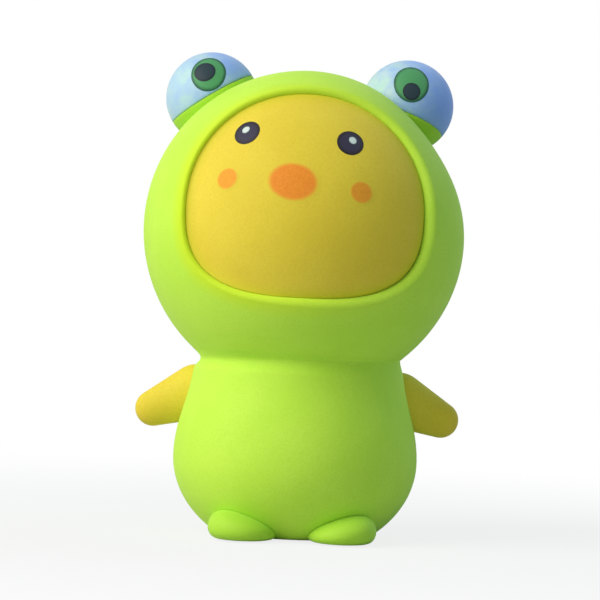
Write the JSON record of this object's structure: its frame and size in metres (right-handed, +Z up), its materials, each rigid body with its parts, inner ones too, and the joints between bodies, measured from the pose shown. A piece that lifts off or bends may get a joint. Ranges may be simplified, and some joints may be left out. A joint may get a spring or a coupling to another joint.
{
  "type": "squishy toy",
  "caption": "Soft foam squeeze toy, a round chick in a frog-hooded suit, with a trunk that squashes under the head and wings and eye bumps that flex.",
  "frame": {"origin": "middle of the flat base, on the table", "axes": "+Z up, the toy faces -Y, so its own left is +X"},
  "size_m": [0.0788, 0.0765, 0.1172],
  "materials": {
    "suit_foam": "matte",
    "lid_foam": "matte",
    "chick_foam": "matte",
    "dome_foam": "matte",
    "iris_ink": "satin",
    "pupil_ink": "satin",
    "eye_ink": "satin",
    "glint_ink": "satin",
    "beak_ink": "satin",
    "cheek_ink": "satin"
  },
  "bodies": {
    "base": {"trunk": "suit_foam", "foot_left": "suit_foam", "foot_right": "suit_foam"},
    "neck": {"neck_plug": "suit_foam"},
    "head": {"hood": "suit_foam", "face": "chick_foam", "chick_eye_left": "eye_ink", "chick_eye_right": "eye_ink", "glint_left": "glint_ink", "glint_right": "glint_ink", "beak": "beak_ink", "cheek_left": "cheek_ink", "cheek_right": "cheek_ink"},
    "wing_left": {"wing_left": "chick_foam"},
    "wing_right": {"wing_right": "chick_foam"},
    "frog_eye_left": {"frog_eye_left": "dome_foam", "eyelid_left": "lid_foam", "iris_left": "iris_ink", "pupil_left": "pupil_ink"},
    "frog_eye_right": {"frog_eye_right": "dome_foam", "eyelid_right": "lid_foam", "iris_right": "iris_ink", "pupil_right": "pupil_ink"}
  },
  "joints": [
    {"name": "head_press", "type": "slide", "parent": "base", "child": "neck", "axis": [0, 0, -1], "range_m": [0, 0.008], "stiffness_N_per_m": 600, "springref_m": -0.0006, "deforming": ["trunk"]},
    {"name": "head_nod", "type": "hinge", "parent": "neck", "child": "head", "pos_m": [0, 0, 0.07404], "axis": [1, 0, 0], "range_deg": [-8, 8], "stiffness_Nm_per_rad": 0.3},
    {"name": "wing_left_flap", "type": "hinge", "parent": "neck", "child": "wing_left", "pos_m": [0.02693, 0.003, 0.033], "axis": [0, -1, 0], "range_deg": [-12, 25], "stiffness_Nm_per_rad": 0.0006},
    {"name": "wing_right_flap", "type": "hinge", "parent": "neck", "child": "wing_right", "pos_m": [-0.02693, 0.003, 0.033], "axis": [0, 1, 0], "range_deg": [-12, 25], "stiffness_Nm_per_rad": 0.0006},
    {"name": "frog_eye_left_tilt", "type": "hinge", "parent": "head", "child": "frog_eye_left", "pos_m": [0.02416, 0.00782, 0.10623], "axis": [1, 0, 0], "range_deg": [-5, 5], "stiffness_Nm_per_rad": 0.004},
    {"name": "frog_eye_right_tilt", "type": "hinge", "parent": "head", "child": "frog_eye_right", "pos_m": [-0.02416, 0.00782, 0.10623], "axis": [1, 0, 0], "range_deg": [-5, 5], "stiffness_Nm_per_rad": 0.004}
  ]
}
